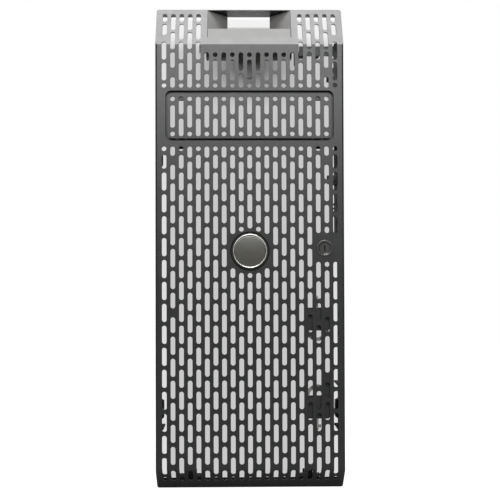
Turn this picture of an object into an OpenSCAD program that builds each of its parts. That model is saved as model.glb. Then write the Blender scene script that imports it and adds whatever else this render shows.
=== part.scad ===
// Server front bezel: a slotted cover that hooks onto the front of a tower server.
// Origin: middle of the lower edge of the rear rim, the plane that meets the chassis.
// X runs across the bezel, Y from the front face to the chassis, Z up. Millimetres.

/* [Shell] */
// Overall width
body_w = 175; // [172:1:180]
// Overall height
body_h = 452.5; // [450:0.5:460]
// Depth from the front face to the rear rim
body_d = 44.5; // [43:0.5:50]
// Thickness of the side, top and bottom walls
wall_t = 2.6; // [2.2:0.1:3]
// Thickness of the slotted front
front_t = 3; // [2.6:0.1:3.4]
// Radius of the outer edges
edge_r = 2; // [1:0.5:3]
// Height of the sloped band at the top
brow_h = 38; // [36:0.5:40]
// How far the top band leans back
brow_d = 24; // [22:1:25]
// Height of the sloped band at the foot
foot_h = 20.7; // [18:0.1:22]
// How far the foot band leans back
foot_d = 25; // [22:1:27]
// Height of the stiffening lip along the lower rear edge
sill_h = 5.7; // [5:0.1:7]

/* [Grille] */
// Number of slot columns, odd
columns = 21; // [19:2:21]
// Distance from a side to the middle of the outer column
side_margin = 8.1; // [7.8:0.1:8.6]
// Width of a slot and diameter of a dot
slot_w = 4.4; // [4:0.1:4.8]
// Length of a full slot in the main field
slot_len = 16.9; // [16:0.1:17.4]
// Distance between rows in the main field
row_pitch = 20.27; // [20:0.01:20.6]
// Height of the first full slot's middle in the odd columns
first_row_z = 23.5; // [23:0.1:24]
// Lower border of the main field
field_low_z = 8.2; // [7.6:0.1:8.6]
// Border left plain under the insert
field_margin = 5.15; // [4.5:0.05:6]
// Border left plain above the insert
upper_margin = 2.65; // [2.4:0.05:3.2]
// Border left plain under the top edge
top_margin = 4.7; // [4.2:0.1:5.2]
// Border left plain under the brow in the middle columns
brow_margin = 7.5; // [6.5:0.1:9]
// Web between slots in the upper field
upper_web = 2.3; // [2:0.1:2.8]
// Web between slots in the insert
insert_web = 3.5; // [3:0.1:4]
// Length of the short slots that start the even upper columns
upper_short = 13.4; // [12:0.1:14]
// Length of the long dots that end the odd upper columns
upper_dot = 8.8; // [8:0.1:9.6]

/* [Drive insert] */
// Width of the opening for the insert
bay_w = 156.3; // [155:0.1:157]
// Height of the opening for the insert
bay_h = 46.7; // [46:0.1:48]
// Corner radius of the opening
bay_r = 5.5; // [4:0.5:7]
// Distance from the top edge down to the middle of the opening
bay_drop = 104.4; // [103:0.1:106]
// Dark groove at the sides and bottom of the insert
groove = 2.2; // [2:0.1:2.6]
// Extra groove along the top of the insert
groove_extra = 0.7; // [0.3:0.1:0.9]
// Plain border under the insert's slots
insert_margin = 2; // [1.8:0.1:2.4]
// Plain border above the insert's slots
insert_top_margin = 2.6; // [2.2:0.1:3]
// Thickness of the insert's face
insert_t = 2.6; // [2.2:0.1:3]
// Depth of the ledge that the insert rests on
ledge_depth = 4.9; // [4.5:0.1:5.5]
// Thickness of the ledge
ledge_t = 2; // [1.6:0.1:2.4]

/* [Handle pocket] */
// Width of the pocket's opening
pocket_w = 78.6; // [76:0.2:80]
// Distance from the top edge down to the pocket's lower edge
pocket_drop = 30.7; // [29:0.1:32]
// Height of the plain lip below the funnel
lip_h = 9.1; // [8:0.1:10]
// Width of the see-through window
window_w = 40.6; // [38:0.2:44]
// Height of the see-through window
window_h = 12.2; // [11:0.1:13]
// Wall of the pocket moulding
pocket_t = 2; // [1.6:0.1:2.2]
// How far the pocket's lip lies behind the brow
pocket_recess = 1.2; // [1:0.1:1.5]

/* [Release latch] */
// Travel of the latch when it is pressed down
latch_travel = 5; // [4:0.5:5.5]
// Distance of each latch hook from the pocket's side
hook_inset = 9.3; // [8:0.1:11]
// How far the hooks reach past the rear rim
hook_reach = 6.5; // [5:0.5:8]
// Width of a hook
hook_w = 6; // [5:0.5:7]
// Outer radius of the latch spring
spring_r = 4.1; // [3.6:0.1:4.2]
// Wire thickness of the latch spring
spring_wire = 0.8; // [0.6:0.1:0.9]

/* [Badge] */
// Height of the badge's middle
badge_z = 222.3; // [221:0.1:224]
// Outer radius of the badge ring
badge_r = 15.9; // [15:0.1:16.4]
// Width of the ring seen from the front
ring_w = 1.3; // [1.1:0.1:1.6]
// Radius of the dish round the badge
dish_r = 18.1; // [17.8:0.1:18.6]
// Depth of the dish
dish_depth = 1.6; // [1.2:0.1:1.8]
// Radius of the plain patch round the badge
badge_patch_r = 21; // [20.8:0.1:22]
// Radius of the badge's pivot
pivot_r = 4; // [3.6:0.1:4.4]

/* [Lock] */
// Distance of the lock from the right side
lock_inset = 18.2; // [17.8:0.1:18.6]
// Height of the lock's middle
lock_z = 224.7; // [224:0.1:226]
// Outer radius of the lock's collar
collar_r = 7.7; // [7.4:0.1:8]
// Radius of the lock body
barrel_r = 4.2; // [4:0.1:4.4]
// Radius of the plug that the key turns
plug_r = 3.2; // [3:0.1:3.3]
// Distance of the cam's pin from the plug's axis
crank_r = 6; // [5.6:0.1:6.2]
// Width of the lock bar, front to back
bar_w = 10; // [9:0.5:11]
// Thickness of the lock bar
bar_t = 3.4; // [3:0.1:3.6]

/* [Keys] */
// Distance of the key holders' middle from the right side
holder_inset = 25; // [24.4:0.1:26.4]
// Height of the upper key holder's middle
upper_holder_z = 159; // [158:0.5:160]
// Height of the lower key holder's middle
lower_holder_z = 77.4; // [76:0.1:79]
// Width of a key holder
holder_w = 23; // [22:0.5:24]
// Height of a key holder
holder_h = 21.4; // [20:0.2:22]
// Outer radius of a key's bow
bow_r = 10.8; // [10:0.1:11]
// Thickness of a key's bow
bow_t = 2.2; // [1.8:0.1:2.4]

/* [Fits] */
// Gap round parts that are seated in others
seat_gap = 0.25; // [0.2:0.05:0.3]
// Gap round sliding parts
slide_gap = 0.3; // [0.25:0.05:0.4]
// Radial clearance of turning parts
run_gap = 0.06; // [0.04:0.01:0.08]
// Radius of a screw's shank
screw_r = 1.2; // [1:0.1:1.3]
// Radius of a screw's head
screw_head_r = 2.4; // [2.2:0.1:2.5]

/* [Hidden] */
$fn = 48;
eps = 0.01;

// Colours of the mouldings and the metal parts
satin_black = [0.16, 0.17, 0.18];
deep_black = [0.08, 0.08, 0.09];
bright_metal = [0.75, 0.75, 0.73];
dark_gloss = [0.25, 0.25, 0.23];
steel = [0.55, 0.55, 0.56];

// Distances from the middle
lock_x = body_w / 2 - lock_inset;
holder_x = body_w / 2 - holder_inset;
latch_hook_x = pocket_w / 2 - hook_inset;
col_pitch = (body_w - 2 * side_margin) / (columns - 1);

// Planes along Y
front_y = -body_d;
inner_y = front_y + front_t;
inner_x = body_w / 2 - wall_t;

// Creases and leans of the sloped bands
brow_z = body_h - brow_h;
brow_angle = atan2(brow_d, brow_h);
foot_angle = atan2(foot_d, foot_h);

// Y of the outer surface of the brow at height z
function brow_y(z) = front_y + (z - brow_z) * brow_d / brow_h;

// Shift of a corner where two faces, with inward normals at angles a and b, move in by ta and tb
function inset(a, ta, b, tb) = [ta * sin(b) - tb * sin(a), tb * cos(a) - ta * cos(b)] / sin(b - a);

// Side outlines of the shell's outer and inner surfaces, as [y, z] points
outer_side = [
    [0, 0], [front_y + foot_d, 0], [front_y, foot_h],
    [front_y, brow_z], [front_y + brow_d, body_h], [0, body_h]
];
inner_side = [
    [1, wall_t],
    outer_side[1] + inset(90, wall_t, foot_angle, front_t),
    outer_side[2] + inset(foot_angle, front_t, 0, front_t),
    outer_side[3] + inset(0, front_t, -brow_angle, front_t),
    outer_side[4] + inset(-brow_angle, front_t, -90, wall_t),
    [1, body_h - wall_t]
];

// ---- Helper shapes ----

// Rounded rectangle centred on the origin
module rounded(w, h, r) {
    square([w - 2 * r, h], center = true);
    square([w, h - 2 * r], center = true);
    for (x = [-1, 1], y = [-1, 1])
        translate([x * (w / 2 - r), y * (h / 2 - r)]) circle(r);
}

// Extrudes an [x, z] outline from y0 to y1
module along_y(y0, y1) {
    translate([0, y1, 0]) rotate([90, 0, 0]) linear_extrude(y1 - y0) children();
}

// Extrudes a [y, z] outline from x0 to x1
module along_x(x0, x1) {
    translate([x0, 0, 0]) rotate([90, 0, 90]) linear_extrude(x1 - x0) children();
}

// Round bar along Y at [x, z]
module rod(x, z, r, y0, y1) {
    translate([x, y1, z]) rotate([90, 0, 0]) cylinder(r = r, h = y1 - y0);
}

// Cone along Y at [x, z], radius r0 at y0 and r1 at y1
module taper(x, z, r0, r1, y0, y1) {
    translate([x, y1, z]) rotate([90, 0, 0]) cylinder(r1 = r1, r2 = r0, h = y1 - y0);
}

// Box between two opposite corners
module block(a, b) {
    translate(a) cube(b - a);
}

module both_sides() {
    children();
    mirror([1, 0, 0]) children();
}

// ---- Slot pattern ----
side_cols = 5;
bay_z = body_h - bay_drop;
bay_low = bay_z - bay_h / 2;
bay_top = bay_z + bay_h / 2;
insert_low = bay_low + groove;
insert_top = bay_top - groove - groove_extra;
insert_z = (insert_low + insert_top) / 2;
insert_w = bay_w - 2 * groove;
insert_h = insert_top - insert_low;
insert_slots = [insert_low + insert_margin, insert_top - insert_top_margin];
web = row_pitch - slot_len;

function col_x(i) = (i - (columns + 1) / 2) * col_pitch;
function odd(i) = i % 2 == 1;
function at_side(i) = i <= side_cols || i > columns - side_cols;

// A stack of slots [low, high] that fills a field: a first and a last piece, and equal ones between
function fill(low, high, first, last, gap) =
    let (
        start = low + (first > 0 ? first + gap : 0),
        end = high - (last > 0 ? last + gap : 0),
        n = max(1, round((end - start + gap) / (slot_len + gap))),
        each_len = (end - start - (n - 1) * gap) / n
    )
    concat(
        first > 0 ? [[low, low + first]] : [],
        [for (k = [0 : n - 1]) [start, start + each_len] + k * (each_len + gap) * [1, 1]],
        last > 0 ? [[high - last, high]] : []
    );

// What closes the main field above its last full slot: one short slot, or one and a dot
function close_field(low, high) =
    high - low > slot_len ? [[low, high - slot_w - web], [high - slot_w, high]] : [[low, high]];

// Main field: full slots at the row pitch, shifted by half a pitch in every other column
function main_field(i) =
    let (
        high = bay_low - field_margin,
        z0 = first_row_z + (odd(i) ? 0 : row_pitch / 2),
        n = floor((high - web - slot_w - slot_len / 2 - z0) / row_pitch),
        foot_end = odd(i) ? field_low_z + slot_w : foot_h - 0.7
    )
    concat(
        [[field_low_z, foot_end]],
        [for (k = [0 : n]) let (z = z0 + k * row_pitch) [z - slot_len / 2, z + slot_len / 2]],
        close_field(z0 + n * row_pitch + slot_len / 2 + web, high)
    );

// Upper field: round the insert's top, and on over the brow in the outer columns
function upper_field(i) =
    let (
        low = bay_top + upper_margin,
        high = at_side(i) ? body_h - top_margin : brow_z - brow_margin
    )
    odd(i) ? fill(low, high, slot_w, at_side(i) ? upper_dot : slot_w, upper_web)
           : fill(low, high, upper_short, 0, upper_web);

function insert_field(i) =
    odd(i) ? fill(insert_slots[0], insert_slots[1], 0, 0, insert_web)
           : fill(insert_slots[0], insert_slots[1], slot_w, slot_w, insert_web);

// Half height of the round plain patch where a slot at x meets it, or 0
function patch_half(x) =
    let (d = max(0, abs(x) - slot_w / 2))
    d < badge_patch_r ? sqrt(badge_patch_r * badge_patch_r - d * d) : 0;

// Plain stretches [low, high] of column i: the badge, the lock, and the wide bridges over bosses
boss_x = col_x(columns - 1);
holder_screw_up = 6.4;
boss_zs = [bay_top + 17, bay_low - 18.1, upper_holder_z + holder_screw_up];
lower_boss_z = upper_holder_z - 53.8;
function plain_stretches(i) =
    let (x = col_x(i), h = patch_half(x))
    concat(
        h > 0 ? [[badge_z - h, badge_z + h]] : [],
        i > columns - 3 ? [[lock_z - 12.6, lock_z + 14.2]] : [],
        i == 2 || i == columns - 1 ? [for (z = boss_zs) [z - 4.1, z + 4.1]] : [],
        i == columns - 1 ? [[lower_boss_z - 4.4, lower_boss_z + 4.4]] : [],
        i == 1 || i == columns ? [[brow_z + 2.8, brow_z + 10]] : []
    );

// What a plain stretch leaves of a slot; a stub shorter than a dot becomes a dot, a sliver goes
function cut_slot(s, p) =
    p[1] <= s[0] || p[0] >= s[1] ? [s] :
    concat(
        p[0] - s[0] > slot_w / 3 ? [[s[0], max(p[0], s[0] + slot_w)]] : [],
        s[1] - p[1] > slot_w / 3 ? [[min(p[1], s[1] - slot_w), s[1]]] : []
    );
function cut_all(slots, plain, k = 0) =
    k == len(plain) ? slots :
    cut_all([for (s = slots) each cut_slot(s, plain[k])], plain, k + 1);

// One upright slot with round ends
module slot(x, s) {
    half = slot_w / 2;
    if (s[1] - s[0] > slot_w + eps) {
        translate([x - half, s[0] + half]) square([slot_w, s[1] - s[0] - slot_w]);
        translate([x, s[0] + half]) circle(half);
    }
    translate([x, s[1] - half]) circle(half);
}

module shell_slots() {
    for (i = [1 : columns], s = cut_all(concat(main_field(i), upper_field(i)), plain_stretches(i)))
        slot(col_x(i), s);
}

module insert_slots_2d() {
    for (i = [2 : columns - 1], s = insert_field(i))
        slot(col_x(i), s);
}

// ---- Places of the fixings ----
rib_t = 2;
rib_x = pocket_w / 2 + 4.35;
rib_z = brow_z - 15;
housing_rear = -3.6;
housing_front = -17;
plate_y = -4.2;
plate_t = 1.8;
plate_low = body_h - 26;
pocket_screw_z = body_h - 10;
housing_screw_z = brow_z + 1.5;
guide_x = body_w / 2 - 11.4;
guide_y = -25.3;
upper_guide_z = bay_top + 15;
lower_guide_z = bay_low - 34.75;
holder_y = inner_y + 2.5;
holder_screw_x = boss_x;
badge_hub_r = pivot_r + 2.5;
badge_hub_y = -38;
lock_hole_r = collar_r - 1.2;
head_h = 1.6;
screw_len = 8;
holder_screw_len = 5;
tab_t = 2.6;
hook_t = 1.6;

// ---- Shell ----
module shell_skin() {
    difference() {
        intersection() {
            along_x(-body_w / 2, body_w / 2) polygon(outer_side);
            along_y(front_y, 0) translate([0, body_h / 2]) rounded(body_w, body_h, edge_r);
            translate([0, 0, -1]) linear_extrude(body_h + 2)
                translate([0, -body_d / 2 + edge_r]) rounded(body_w, body_d + 2 * edge_r, edge_r);
        }
        along_x(-inner_x, inner_x) polygon(inner_side);
        along_y(front_y - 1, front_y + brow_d + 8) shell_slots();
    }
}

// Skirt round the bay, ending in the ledge that the drive panel rests on
skirt_t = 2;
ledge_y = front_y + ledge_depth;
ledge_lap = 1.6;
clip_x = insert_w / 2 - 12.5;
clip_w = 8;
module bay_skirt() {
    along_y(inner_y - eps, ledge_y + ledge_t) translate([0, bay_z])
        rounded(bay_w + 2 * skirt_t, bay_h + 2 * skirt_t, bay_r + skirt_t);
}

module bay_cut() {
    along_y(front_y - 1, ledge_y) translate([0, bay_z]) rounded(bay_w, bay_h, bay_r);
    along_y(front_y, 0) translate([0, insert_z])
        rounded(insert_w - 2 * ledge_lap, insert_h - 2 * ledge_lap, bay_r - ledge_lap);
    both_sides() block(
        [clip_x - clip_w / 2 - 0.5, ledge_y - 1, insert_low - 0.4],
        [clip_x + clip_w / 2 + 0.5, ledge_y + ledge_t + 1, insert_low + ledge_lap + 1]
    );
}

// Upright ribs beside the pocket, with the bosses for its screws and the latch housing's
module pocket_ribs() {
    both_sides() {
        along_x(rib_x - rib_t / 2, rib_x + rib_t / 2) polygon([
            [inner_y - 0.5, rib_z], [inner_y - 0.5, brow_z],
            [brow_y(body_h - 1) + 2.5, body_h - 1], [plate_y, body_h - 1],
            [plate_y, plate_low], [housing_front - 0.5, plate_low - 4], [housing_front - 0.5, rib_z]
        ]);
        rod(rib_x, housing_screw_z, 3, housing_front - 10, housing_front - 0.5);
        rod(rib_x, pocket_screw_z, 2.6, plate_y - 10, plate_y);
    }
}

// Opening for the handle pocket; it thins the top wall, which is the pocket's ceiling
module pocket_opening() {
    low = body_h - pocket_drop;
    along_x(-pocket_w / 2, pocket_w / 2) polygon([
        [front_y - 5, low], [brow_y(low) + 9, low], [brow_y(body_h) + 10, body_h - 10],
        [1, body_h - wall_t + 0.1], [brow_y(body_h) - 0.4, body_h - 0.6], [front_y - 5, body_h - 0.6]
    ]);
}

// Hook that stands on the bottom wall and drops into the chassis
module foot_hook() {
    x = body_w / 2 - 32;
    block([x - 11, -4, wall_t - 0.5], [x + 11, -1.5, 10.2]);
    block([x - 4.5, -4, wall_t], [x + 4.5, -1.5, 13]);
    along_x(x - 4.5, x + 4.5) polygon([
        [-4, 11], [4.3, 11], [4.3, 8.6], [5.2, 7.8], [hook_reach, 9], [hook_reach, 12.2], [5.6, 13], [-4, 13]
    ]);
}

// Plain locating tab on a side wall
module side_tab() {
    inner = inner_x - tab_t;
    along_y(-8, 0) polygon([[inner, 64], [inner_x + 0.5, 62], [inner_x + 0.5, 82], [inner, 80]]);
    along_x(inner, inner_x) polygon([[-1, 64], [3, 64], [5, 67], [5, 77], [3, 80], [-1, 80]]);
}

// Hook on the left wall, opposite the lock bar
module side_hook() {
    inner = inner_x - hook_t;
    root = inner_x + 0.5;
    along_x(-root, -inner) polygon([[-12, 305], [0, 305], [0, 319], [-12, 319]]);
    along_x(-inner_x, -inner) polygon([
        [-1, 307], [hook_reach, 307], [hook_reach, 317], [4, 319], [4, 311], [-1, 311]
    ]);
}

module shell_details() {
    bay_skirt();
    pocket_ribs();
    rod(0, badge_z, badge_hub_r, inner_y - 0.5, badge_hub_y);
    for (z = [upper_guide_z, lower_guide_z]) rod(guide_x, z, 2.6, inner_y - 0.1, guide_y);
    for (z = [upper_holder_z + holder_screw_up, lower_boss_z]) rod(holder_screw_x, z, 2.8, inner_y - 0.5, holder_y);
    block([-inner_x - 0.5, -2.5, wall_t - 0.5], [inner_x + 0.5, 0, sill_h]);
    both_sides() {
        foot_hook();
        side_tab();
        block([inner_x - 4.4, inner_y - 0.5, 57.2], [inner_x + 0.5, -10, 58.8]);
    }
    side_hook();
    block([inner_x - 4.4, inner_y - 0.5, 97.8], [inner_x + 0.5, -10, 99.4]);
}

module bezel_shell() {
    color(satin_black)
    difference() {
        union() {
            shell_skin();
            shell_details();
        }
        bay_cut();
        pocket_opening();
        taper(0, badge_z, dish_r + 0.6, dish_r - 1, front_y - 0.6, front_y + dish_depth);
        rod(0, badge_z, pivot_r + run_gap, front_y, 0);
        rod(lock_x, lock_z, lock_hole_r, front_y - 1, inner_y + 1);
        both_sides() {
            rod(rib_x, housing_screw_z, screw_r + 0.05, housing_front - 8, 0);
            rod(rib_x, pocket_screw_z, screw_r + 0.05, plate_y - 8, 0);
        }
        for (z = [upper_guide_z, lower_guide_z]) rod(guide_x, z, screw_r + 0.05, guide_y - 8, 0);
        for (z = [upper_holder_z + holder_screw_up, lower_boss_z])
            rod(holder_screw_x, z, screw_r + 0.05, inner_y - 1.3, 0);
    }
}

// ---- Drive panel ----
// Snap arm with a lip that catches behind the ledge; up is 1 at the top and -1 at the bottom
module panel_clip(arm, lip_end) {
    block([clip_x - clip_w / 2, front_y + insert_t - 0.5, arm[0]], [clip_x + clip_w / 2, ledge_y + 4.2, arm[1]]);
    block(
        [clip_x - clip_w / 2, ledge_y + ledge_t + 0.2, min(arm[0], lip_end)],
        [clip_x + clip_w / 2, ledge_y + 4.2, max(arm[1], lip_end)]
    );
}

module drive_panel() {
    color(satin_black) {
        difference() {
            along_y(front_y, ledge_y) translate([0, insert_z])
                rounded(insert_w, insert_h, bay_r - groove);
            along_y(front_y + insert_t, 0) translate([0, insert_z])
                rounded(insert_w - 2 * ledge_lap, insert_h - 2 * ledge_lap, bay_r - groove - ledge_lap);
            along_y(front_y - 1, ledge_y + 1) insert_slots_2d();
        }
        both_sides() {
            panel_clip([insert_top - 5.4, insert_top - ledge_lap - 0.35], bay_top + skirt_t);
            panel_clip([insert_low, insert_low + ledge_lap - 0.1], insert_low - 9.1);
        }
    }
}

// ---- Handle pocket ----
lip_z = body_h - pocket_drop + lip_h;
window_low = body_h - wall_t - window_h + 0.2;

// Y of a plane that lies t behind the brow, at height z
function behind_brow(z, t) = brow_y(z) + t / cos(brow_angle);

// Funnel from the brow to the window, grown by t; its mouth runs on past the brow
module funnel(t) {
    front_low = [pocket_w / 2 - 0.3 + t, behind_brow(lip_z, pocket_recess), lip_z - t];
    front_high = [pocket_w / 2 - 2.5 + t, brow_y(body_h) - 0.5, body_h + 4];
    back_low = [window_w / 2 + t, plate_y, window_low - 0.8 - t];
    back_high = [window_w / 2 + t, plate_y, body_h + 4];
    low = back_low + 1.3 * (front_low - back_low);
    high = back_high + 1.3 * (front_high - back_high);
    polyhedron(
        points = [
            low, [-low[0], low[1], low[2]], [-high[0], high[1], high[2]], high,
            back_low, [-back_low[0], back_low[1], back_low[2]],
            [-back_high[0], back_high[1], back_high[2]], back_high
        ],
        faces = [
            [0, 1, 2, 3], [7, 6, 5, 4], [1, 0, 4, 5], [3, 2, 6, 7], [0, 3, 7], [0, 7, 4], [2, 1, 6], [6, 1, 5]
        ]
    );
}

// Room for the pocket: all the space behind the brow's wall, and the opening in front of that
module pocket_room() {
    low = body_h - pocket_drop;
    gap = front_t + seat_gap;
    ceiling = body_h - wall_t - seat_gap;
    along_x(-rib_x + rib_t / 2 + seat_gap, rib_x - rib_t / 2 - seat_gap) polygon([
        [behind_brow(low, gap), low], [behind_brow(ceiling, gap), ceiling], [plate_y, ceiling], [plate_y, low]
    ]);
    along_x(-pocket_w / 2 + seat_gap, pocket_w / 2 - seat_gap) polygon([
        [behind_brow(low + seat_gap, pocket_recess), low + seat_gap],
        [behind_brow(body_h - 1.2, pocket_recess), body_h - 1.2],
        [plate_y, ceiling + 0.2], [plate_y, low + seat_gap]
    ]);
}

module pocket_lip() {
    low = body_h - pocket_drop + seat_gap;
    along_x(-pocket_w / 2 + seat_gap, pocket_w / 2 - seat_gap) polygon([
        [behind_brow(low, pocket_recess), low], [behind_brow(lip_z, pocket_recess), lip_z],
        [behind_brow(lip_z, pocket_recess + pocket_t), lip_z],
        [behind_brow(low, pocket_recess + pocket_t), low]
    ]);
}

module handle_pocket() {
    half = window_w / 2;
    color(deep_black)
    difference() {
        union() {
            intersection() {
                funnel(pocket_t);
                pocket_room();
            }
            pocket_lip();
            block([-rib_x - 2.4, plate_y, plate_low], [rib_x + 2.4, plate_y + plate_t, body_h - wall_t - seat_gap]);
        }
        funnel(0);
        block([-half, plate_y - 2, window_low], [half, 0, body_h]);
        block([-half - 0.4, plate_y - 6.3, plate_low + 1], [half + 0.4, plate_y - eps, window_low + 2]);
        block([-half - 0.2, behind_brow(lip_z - 2, 0), lip_z - 2], [half + 0.2, behind_brow(lip_z, 6), lip_z + 1]);
        both_sides() rod(rib_x, pocket_screw_z, screw_r + 0.05, plate_y - 1, 0);
    }
}

// ---- Release latch ----
bar_half = latch_hook_x + 4.5;
post_end = bar_half + 6.3;
latch_low = brow_z + 0.5;
latch_high = latch_low + 5.5;
floor_z = latch_low - latch_travel - 0.5;
spring_y = -9;
spring_low = floor_z - 18;
housing_top = brow_z + 8;
cover_t = 1.6;
cover_screw_x = bar_half + 3.4;
cover_screw_z = floor_z + 2.5;

module latch_housing() {
    wall = 2;
    base = floor_z - wall;
    color(satin_black)
    difference() {
        union() {
            block([-post_end, housing_front, base], [post_end, housing_front + wall, housing_top]);
            block([-post_end, housing_front, base], [post_end, housing_rear, floor_z]);
            both_sides() {
                block([bar_half + slide_gap, housing_front, base], [post_end, housing_rear, housing_top]);
                block(
                    [post_end - 1, housing_front - 0.5, housing_screw_z - 4],
                    [rib_x + 3.8, housing_front + 1.5, housing_screw_z + 4]
                );
            }
            block([-10.5, housing_front + 2, base - 11.5], [10.5, housing_rear, base + 0.5]);
            translate([0, spring_y, spring_low - 2.5]) cylinder(r = spring_r + 1.9, h = base - spring_low);
        }
        translate([0, spring_y, spring_low]) cylinder(r = spring_r + 0.5, h = floor_z - spring_low + 1);
        both_sides() {
            rod(rib_x, housing_screw_z, screw_r + 0.05, housing_front - 2, 0);
            rod(cover_screw_x, cover_screw_z, screw_r + 0.05, housing_rear - 8, 0);
        }
    }
}

module latch_cover() {
    color(satin_black)
    difference() {
        block([-post_end + 0.4, housing_rear, floor_z - 2], [post_end - 0.4, housing_rear + cover_t, housing_top - 0.5]);
        both_sides() {
            block(
                [latch_hook_x - hook_w / 2 - 0.5, housing_rear - 1, floor_z + 0.2],
                [latch_hook_x + hook_w / 2 + 0.5, 0, latch_high + 2.1]
            );
            rod(cover_screw_x, cover_screw_z, screw_r + 0.05, housing_rear - 1, 0);
        }
    }
}

// Upright finger of a hook that catches behind the chassis panel, at x with its shank at z
module chassis_hook(x, w, y0, z) {
    along_x(x - w / 2, x + w / 2) polygon([
        [y0, z], [hook_reach, z], [hook_reach, z + 5], [hook_reach - 1, z + 6.5],
        [hook_reach - 2.5, z + 6.5], [hook_reach - 2.5, z + 3], [y0, z + 3]
    ]);
}

module release_latch() {
    rear = housing_rear - slide_gap;
    relief_w = (latch_hook_x - 9) / 2;
    pad_low = lip_z + 0.5;
    color(satin_black) {
        difference() {
            block([-bar_half, housing_front + 2.3, latch_low], [bar_half, rear, latch_high]);
            both_sides() for (x = [4, 5 + relief_w])
                block([x, housing_front + 4, latch_low + 1.6], [x + relief_w, rear - 1.6, latch_high + 1]);
        }
        block([-3.6, spring_y - 3.6, latch_low], [3.6, spring_y + 3.6, latch_high]);
        block([-12, -10, latch_high - 1.8], [12, -6, pad_low + 1]);
        block([-window_w / 2 + 0.3, plate_y - 5.8, pad_low], [window_w / 2 - 0.3, plate_y - 0.8, window_low]);
        both_sides() {
            chassis_hook(latch_hook_x, hook_w, rear - 4, latch_low + 0.5);
            block([latch_hook_x - 3.6, rear - 5, latch_low], [latch_hook_x + 3.6, rear, latch_high]);
        }
    }
}

// Compression spring with closed ends, swept along its helix
module latch_spring() {
    steps = 14;
    sides = 6;
    turns = 8;
    wire = spring_wire / 2;
    mean_r = spring_r - wire;
    span = latch_low - spring_low - spring_wire;
    closed = spring_wire * 1.02;
    pitch = (span - 2 * closed) / (turns - 2);
    function coil_z(u) = u < 1 ? u * closed : u > turns - 1 ? span - (turns - u) * closed
        : closed + (u - 1) * pitch;
    count = turns * steps;
    points = [
        for (k = [0 : count], j = [0 : sides - 1])
            let (a = 360 * k / steps, b = 360 * j / sides, r = mean_r + wire * cos(b))
            [r * cos(a), spring_y + r * sin(a), spring_low + wire + coil_z(k / steps) + wire * sin(b)]
    ];
    walls = [
        for (k = [0 : count - 1], j = [0 : sides - 1])
            let (a = k * sides + j, b = k * sides + (j + 1) % sides)
            [b, a, a + sides, b + sides]
    ];
    ends = [[for (j = [0 : sides - 1]) j], [for (j = [sides - 1 : -1 : 0]) count * sides + j]];
    color(steel) polyhedron(points = points, faces = concat(walls, ends));
}

// ---- Screws ----
// Pan-head screw along Y: its head starts at y, its shank runs forwards
module screw(x, z, y, length) {
    color(steel)
    difference() {
        union() {
            rod(x, z, screw_head_r, y, y + head_h);
            rod(x, z, screw_r, y - length, y + 0.1);
        }
        translate([x, y + head_h + 1, z]) rotate([90, 0, 0]) cylinder(r = 1, h = 2, $fn = 6);
    }
}

module pocket_screws() {
    both_sides() screw(rib_x, pocket_screw_z, plate_y + plate_t, screw_len);
}

module housing_screws() {
    both_sides() screw(rib_x, housing_screw_z, housing_front + 1.5, screw_len);
}

module cover_screws() {
    both_sides() screw(cover_screw_x, cover_screw_z, housing_rear + cover_t, screw_len);
}

module guide_screws() {
    for (z = [upper_guide_z, lower_guide_z]) screw(guide_x, z, guide_y + 2, screw_len);
}

module holder_screws() {
    for (z = [upper_holder_z + holder_screw_up, lower_boss_z]) screw(holder_screw_x, z, holder_y + 2, holder_screw_len);
}

// ---- Lock ----
// Front and rear planes of the lock's pieces
flange_y = front_y - 0.8;
barrel_front = front_y + 0.2;
barrel_seat = front_y + 1.1;
nut_y = inner_y;
barrel_rear = -27;
cam_y = -26.8;
cam_t = 1.6;
pin = [lock_x + crank_r * cos(45), lock_z + crank_r * sin(45)];
bar_travel = 2 * crank_r * sin(45);
bar_front = -23;
bar_x = body_w / 2 - 3.2 - bar_t;
foot_t = 2.4;
arm_z = brow_z - 5;
bar_top = arm_z + 10.5;

module lock_collar() {
    color(dark_gloss)
    difference() {
        union() {
            rod(lock_x, lock_z, collar_r, flange_y + 0.3, front_y);
            taper(lock_x, lock_z, collar_r - 0.5, collar_r, flange_y, flange_y + 0.3);
            rod(lock_x, lock_z, lock_hole_r - 0.1, front_y - 0.1, inner_y);
        }
        taper(lock_x, lock_z, collar_r - 1.4, barrel_r + 0.8, flange_y - eps, barrel_front);
        rod(lock_x, lock_z, barrel_r + 0.8, barrel_front - 0.1, barrel_seat);
        rod(lock_x, lock_z, barrel_r + 0.05, front_y, 0);
    }
}

module lock_barrel() {
    color(bright_metal)
    difference() {
        union() {
            rod(lock_x, lock_z, barrel_r + 0.7, barrel_front, barrel_seat);
            rod(lock_x, lock_z, barrel_r, barrel_seat - 0.1, barrel_rear);
        }
        rod(lock_x, lock_z, plug_r + run_gap, front_y - 1, 0);
        rod(lock_x, lock_z, plug_r + 0.5 + run_gap, front_y - 1, barrel_front + 1.05);
    }
}

module lock_nut() {
    color(steel)
    difference() {
        translate([lock_x, nut_y + 3.5, lock_z]) rotate([90, 0, 0]) cylinder(r = 7.6, h = 3.5, $fn = 6);
        rod(lock_x, lock_z, barrel_r + 0.05, nut_y - 1, nut_y + 5);
    }
}

module lock_plug() {
    color(bright_metal)
    difference() {
        union() {
            rod(lock_x, lock_z, plug_r + 0.5, barrel_front + 0.2, barrel_front + 1);
            rod(lock_x, lock_z, plug_r, barrel_front + 0.9, cam_y);
            rod(lock_x, lock_z, 2, cam_y - 0.1, cam_y + cam_t);
        }
        block([lock_x - 0.55, front_y, lock_z - 2.3], [lock_x + 0.55, front_y + 7, lock_z + 2.3]);
        rod(lock_x, lock_z, 1, cam_y - 3.5, 0);
    }
}

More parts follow.
